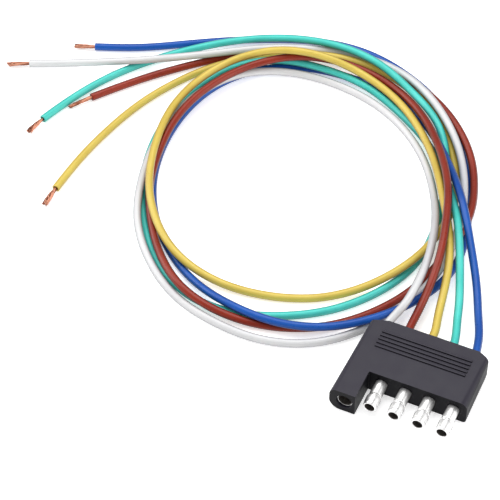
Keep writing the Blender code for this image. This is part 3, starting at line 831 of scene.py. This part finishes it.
def makeBullet(name, shape):
    node = contactNodes[name]
    axisX, axisZ = axisOf(name)
    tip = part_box(node)[0].y
    waist = tip + shape["bulletLength"] * shape["waistShare"]
    face = tip + shape["bulletLength"]
    hole = shape["holeRadius"]
    head, narrow = shape["headRadius"], shape["waistRadius"]
    shank, shoulder = shape["shankRadius"], shape["shoulderRadius"]
    front, rear = (face + inset for inset in shape["shoulderSpan"])
    points = [
        (0, tip + shape["holeDepth"], 0), (hole, tip + shape["holeDepth"], 0),
        (hole, tip + 0.25 * mm, 0.1 * mm),
        (hole + 0.08 * mm, tip, 0.06 * mm), (shape["tipRadius"], tip, 0.25 * mm),
        (head - shape["ring"], tip + 0.7 * mm, 0.5 * mm), (head - shape["ring"], tip + 1.9 * mm, 0.08 * mm),
        (head, tip + 2.05 * mm, 0.1 * mm), (head, waist - 0.75 * mm, 0.4 * mm),
        (narrow, waist - 0.2 * mm, 0.2 * mm), (narrow, waist + 0.15 * mm, 0.2 * mm),
        (shank, waist + 0.6 * mm, 0.3 * mm), (shank, front, 0),
        (shoulder, front, 0.1 * mm), (shoulder, rear, 0.1 * mm),
        (shape["neckRadius"], rear, 0)] + crimpPoints(shape)
    profile = roundedPoints(points)

    def pick(number, outline):
        inside = outline[number][0] < hole + 0.01 * mm and outline[number + 1][0] < hole + 0.01 * mm
        return 1 if inside and outline[number][1] < face else 0

    # Inside the hole the contact gets the painted bore shade.
    piece = spinProfile(f"bullet_{name}", profile, axisX, axisZ, [plating, boreShade], pick)
    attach(piece, "root")
    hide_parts(node)
    return piece


def makeSocket(shape):
    node = contactNodes["white"]
    axisX, axisZ = axisOf("white")
    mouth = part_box(node)[0].y
    rear = mouth + shape["socketLength"]
    outer, inner = shape["socketOuter"], shape["socketInner"]
    wall = outer - inner
    points = [
        (0, rear - 2 * wall, 0), (inner, rear - 2 * wall, 0.3 * mm), (inner, mouth, 0.12 * mm),
        (outer, mouth, 0.12 * mm), (outer, rear - wall, 0.3 * mm), (outer - wall, rear, 0.2 * mm),
        (shape["neckRadius"], rear, 0)] + crimpPoints(shape)
    profile = roundedPoints(points)

    def pick(number, outline):
        deep = outline[number][1] > mouth + 0.1 * mm or outline[number + 1][1] > mouth + 0.1 * mm
        inside = outline[number][0] < inner + 0.01 * mm and outline[number][1] < rear - wall
        return 1 if deep and inside else 0

    # The deep inside of the tube gets the painted bore shade.
    piece = spinProfile("socket_white", profile, axisX, axisZ, [plating, boreShade], pick)
    # The rolled tube stays open along its top.
    bm = bmesh.new()
    bmesh.ops.create_cube(bm, size=1.0)
    length = rear - 4 * wall - (mouth - 1 * mm)
    bmesh.ops.scale(bm, verts=bm.verts, vec=(shape["slit"], length, outer))
    middle = Vector((axisX, mouth - 1 * mm + length / 2, axisZ + inner / 2 + outer / 2))
    bmesh.ops.translate(bm, verts=bm.verts, vec=middle)
    applyBooleans(piece, [("DIFFERENCE", linkBmesh("slitCutter", bm))])
    piece.data.shade_smooth()
    piece.data.set_sharp_from_angle(angle=math.radians(40))
    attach(piece, "root")
    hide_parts(node)
    return piece


def applyBooleans(piece, steps, more=()):
    # Runs the Booleans and any further modifiers, keeps the result as the mesh and removes the cutters.
    for operation, cutter in steps:
        modifier = piece.modifiers.new(operation.title(), "BOOLEAN")
        modifier.operation = operation
        modifier.solver = "EXACT"
        modifier.object = cutter
    for kind, settings in more:
        modifier = piece.modifiers.new(kind.title(), kind)
        for title, value in settings.items():
            setattr(modifier, title, value)
    bpy.context.view_layer.update()
    evaluated = piece.evaluated_get(bpy.context.evaluated_depsgraph_get())
    mesh = bpy.data.meshes.new_from_object(evaluated)
    old = piece.data
    piece.modifiers.clear()
    piece.data = mesh
    bpy.data.meshes.remove(old)
    for _, cutter in steps:
        bpy.data.objects.remove(cutter)
    return piece


for name in ("brown", "yellow", "green", "blue"):
    makeBullet(name, contactShape)
makeSocket(contactShape)
print("contacts turned")


# Housing

housingShape = {
    "barHeight": 0.5 * mm, "pinFaceY": -6.6 * mm, "armInnerX": -14.65 * mm,
    "leftDraft": 1.4 * mm, "rightDraft": 0.6 * mm,
    "rearChamfer": 2.2 * mm, "leftChamfer": 6.6 * mm, "rightChamfer": 4.4 * mm,
    "cornerRadii": (4.5 * mm, 1.4 * mm, 3.8 * mm, 3.0 * mm),
    "rearRadii": (4.5 * mm, 1.4 * mm, 1.6 * mm, 1.6 * mm),
    "edge": 0.35 * mm, "grip": 0.03 * mm, "gap": 0.3 * mm,
}


def housingSection(leftX, rightX, height, y, radii, steps=14):
    corners = [(leftX, 0, 1, 1), (rightX, 0, -1, 1), (rightX, height, -1, -1), (leftX, height, 1, -1)]
    section = []
    for number, (x, z, sideX, sideZ) in enumerate(corners):
        radius = radii[number]
        start = math.pi + number * math.pi / 2
        for step in range(steps + 1):
            angle = start + step / steps * math.pi / 2
            section.append((
                x + sideX * radius + radius * math.cos(angle), y,
                z + sideZ * radius + radius * math.sin(angle)))
    return section


def prismObject(name, outline, thickness):
    bm = bmesh.new()
    face = bm.faces.new([bm.verts.new(point) for point in outline])
    extruded = bmesh.ops.extrude_face_region(bm, geom=[face], use_keep_orig=True)
    far = [item for item in extruded["geom"] if isinstance(item, bmesh.types.BMVert)]
    bmesh.ops.translate(bm, verts=far, vec=thickness)
    bmesh.ops.recalc_face_normals(bm, faces=bm.faces)
    return linkBmesh(name, bm)


def wireChannelProfile(shape, high):
    beyond = 2 * mm
    lip = 0.15 * mm
    wire = leadShape["diameter"] / 2 + shape["grip"]
    front = leadShape["startY"] - 2 * shape["gap"]
    return [
        (0, front), (wire, front), (wire, high.y - lip), (wire + lip, high.y),
        (wire + lip, high.y + beyond), (0, high.y + beyond)]


def channelProfile(name, shape, contacts, low):
    # A contact's way through the housing. Its mouth hugs the contact, as the moulding does.
    beyond = 2 * mm
    lip = 0.15 * mm
    barrel = contacts["barrelRadius"] + shape["gap"]
    crimpEnd = leadShape["startY"] - shape["gap"]
    rear = [(barrel, crimpEnd), (0, crimpEnd)]
    if name == "white":
        hug = contacts["socketOuter"] + shape["grip"]
        mouth = contacts["socketOuter"] + shape["gap"]
        tubeRear = low.y + contacts["socketRecess"] + contacts["socketLength"] + shape["gap"]
        front = [
            (0, low.y - beyond), (hug + lip, low.y - beyond), (hug + lip, low.y), (hug, low.y + lip),
            (hug, low.y + 2 * mm), (mouth, low.y + 2 * mm), (mouth, tubeRear), (barrel, tubeRear)]
    else:
        face = shape["pinFaceY"]
        hug = contacts["shankRadius"] + shape["grip"]
        shoulder = contacts["shoulderRadius"] + shape["gap"]
        shoulderFront = face + contacts["shoulderSpan"][0] - shape["gap"]
        shoulderRear = face + contacts["shoulderSpan"][1] + shape["gap"]
        front = [
            (0, face - beyond), (hug + lip, face - beyond), (hug + lip, face), (hug, face + lip),
            (hug, shoulderFront), (shoulder, shoulderFront), (shoulder, shoulderRear), (barrel, shoulderRear)]
    return front + rear


def makeHousing(shape, contacts):
    low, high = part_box("housing")
    height = high.z - shape["barHeight"]
    leftRear = low.x + shape["leftDraft"]
    front = housingSection(low.x, high.x, height, low.y, shape["cornerRadii"])
    rightRear = high.x - shape["rightDraft"]
    rear = housingSection(leftRear, rightRear, height, high.y, shape["rearRadii"])
    count = len(front)
    faces = [(i, (i + 1) % count, (i + 1) % count + count, i + count) for i in range(count)]
    faces += [tuple(range(count)), tuple(reversed(range(count, 2 * count)))]
    housing = linkMesh("housingShell", front + rear, faces, [vinyl])
    finishNormals(housing)

    far = 10 * mm
    chamfer = high.y - shape["rearChamfer"]
    plan = roundedPoints([
        (low.x - far, low.y - far, 0), (shape["armInnerX"], low.y - far, 0),
        (shape["armInnerX"], shape["pinFaceY"], 0.3 * mm), (high.x + far, shape["pinFaceY"], 0),
        (high.x + far, chamfer, 0), (rightRear, chamfer, 0.3 * mm),
        (rightRear - shape["rightChamfer"], high.y, 0.5 * mm),
        (leftRear + shape["leftChamfer"], high.y, 0.6 * mm), (leftRear, chamfer, 0.3 * mm),
        (low.x - far, chamfer, 0)], closed=True)
    outline = prismObject("planOutline", [(x, y, -height) for x, y in plan], Vector((0, 0, 3 * height)))
    edges = ("BEVEL", {
        "width": shape["edge"], "segments": 3, "limit_method": "ANGLE", "angle_limit": math.radians(40),
        "use_clamp_overlap": True, "miter_outer": "MITER_ARC", "harden_normals": False})
    applyBooleans(housing, [("INTERSECT", outline)], [edges])

    cutters = []
    for name in contactNodes:
        axisX, axisZ = axisOf(name)
        ways = [
            (axisX, channelProfile(name, shape, contacts, low)),
            (exitOf(name, leadShape), wireChannelProfile(shape, high))]
        for middleX, profile in ways:
            cutter = spinProfile(
                f"channel_{name}", profile, middleX, axisZ, [], lambda number, outline: 0, sides=64)
            cutters.append(("DIFFERENCE", cutter))
    applyBooleans(housing, cutters)
    housing.data.shade_smooth()
    housing.data.set_sharp_from_angle(angle=math.radians(32))
    applyBooleans(housing, [], [("WEIGHTED_NORMAL", {"weight": 100, "keep_sharp": True})])
    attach(housing, "root")
    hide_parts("housing")
    return housing


barShape = {
    "count": 5, "firstY": 5.5 * mm, "spacing": 1.87 * mm, "depth": 1.3 * mm, "leftX": -17.6 * mm,
    "rightX": 18.8 * mm, "sunk": 0.3 * mm, "edge": 0.12 * mm,
}


def makeGripBars(shape, housing):
    # One bar with soft edges, repeated towards the rear by Geometry Nodes.
    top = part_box("housing")[1].z
    bottom = top - housing["barHeight"] - shape["sunk"]
    draft = 0.15 * mm
    bm = bmesh.new()
    bmesh.ops.create_cube(bm, size=1.0)
    length = shape["rightX"] - shape["leftX"]
    bmesh.ops.scale(bm, verts=bm.verts, vec=(length, shape["depth"], top - bottom))
    for vert in bm.verts:
        if vert.co.z > 0:
            vert.co.x -= math.copysign(draft, vert.co.x)
            vert.co.y -= math.copysign(draft, vert.co.y)
    middleX = (shape["leftX"] + shape["rightX"]) / 2
    middle = (middleX, shape["firstY"] + shape["depth"] / 2, (top + bottom) / 2)
    bmesh.ops.translate(bm, verts=bm.verts, vec=middle)
    bmesh.ops.bevel(bm, geom=bm.edges, offset=shape["edge"], segments=3, affect="EDGES", profile=0.5)
    host = linkBmesh("barHost", bm)
    host.data.shade_smooth()

    tree, sockets, source, result = newTree("gripBars", {"Count": 5, "Spacing": 0.00187})
    step = addNode(tree, "ShaderNodeCombineXYZ")
    tree.links.new(source.outputs["Spacing"], step.inputs["Y"])
    row = addNode(tree, "GeometryNodeMeshLine")
    tree.links.new(source.outputs["Count"], row.inputs["Count"])
    tree.links.new(step.outputs["Vector"], row.inputs["Offset"])
    place = addNode(tree, "GeometryNodeInstanceOnPoints")
    tree.links.new(row.outputs["Mesh"], place.inputs["Points"])
    tree.links.new(source.outputs["Geometry"], place.inputs["Instance"])
    finishTree(tree, place.outputs["Instances"], vinyl, result)
    values = {"Count": shape["count"], "Spacing": shape["spacing"]}
    piece = bakeTree("gripBars", host, tree, sockets, values, vinyl)
    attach(piece, "root")
    return piece


makeHousing(housingShape, contactShape)
makeGripBars(barShape, housingShape)
for name in leadRoutes:
    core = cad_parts[f"crimped_conductor_{name}"]
    core.data.materials.clear()
    core.data.materials.append(copper)
print("housing moulded")


# Studio: pale floor, soft light

studioLook = {
    "floorSize": 6.0, "floorColor": (0.90, 0.90, 0.90), "floorGlow": 0.50,
    "worldColor": (1.0, 1.0, 1.0), "worldStrength": 0.40,
    "lights": [
        {"name": "topSoftbox", "place": (-0.30, 0.40, 1.25), "size": 1.1, "power": 13.5},
        {"name": "rightSoftbox", "place": (0.85, 0.15, 0.45), "size": 0.8, "power": 6.0},
        {"name": "leftSoftbox", "place": (-1.0, 0.05, 0.50), "size": 0.8, "power": 8.0},
    ],
    "aim": (-0.08, 0.06, 0.0),
}


def makeStudio(look):
    half = look["floorSize"] / 2
    corners = [(-half, -half, 0), (half, -half, 0), (half, half, 0), (-half, half, 0)]
    material, tree, shader = newMaterial(
        "paleFloor", 0.6, 0.0, Specular_IOR_Level=0.2, Emission_Color=(1.0, 1.0, 1.0, 1.0),
        Emission_Strength=look["floorGlow"])
    grain = placeGroup(tree, grainGroup, Scale=300.0, Slow_Scale=2.0)
    shade = tuple(value * 0.985 for value in look["floorColor"])
    color = mixColors(tree, grain.outputs["Slow"], look["floorColor"], shade)
    tree.links.new(color, shader.inputs["Base Color"])
    floor = linkMesh("floor", corners, [(0, 1, 2, 3)], [material])

    world = bpy.data.worlds.new("studio")
    world.use_nodes = True
    background = world.node_tree.nodes["Background"]
    background.inputs["Color"].default_value = (*look["worldColor"], 1.0)
    background.inputs["Strength"].default_value = look["worldStrength"]
    scene.world = world
    for light in look["lights"]:
        data = bpy.data.lights.new(light["name"], "AREA")
        data.shape = "SQUARE"
        data.size = light["size"]
        data.energy = light["power"]
        lamp = bpy.data.objects.new(light["name"], data)
        lamp.location = light["place"]
        towards = Vector(look["aim"]) - lamp.location
        lamp.rotation_euler = towards.to_track_quat("-Z", "Y").to_euler()
        scene.collection.objects.link(lamp)
    scene.view_settings.view_transform = "Standard"


makeStudio(studioLook)
print("studio lit")
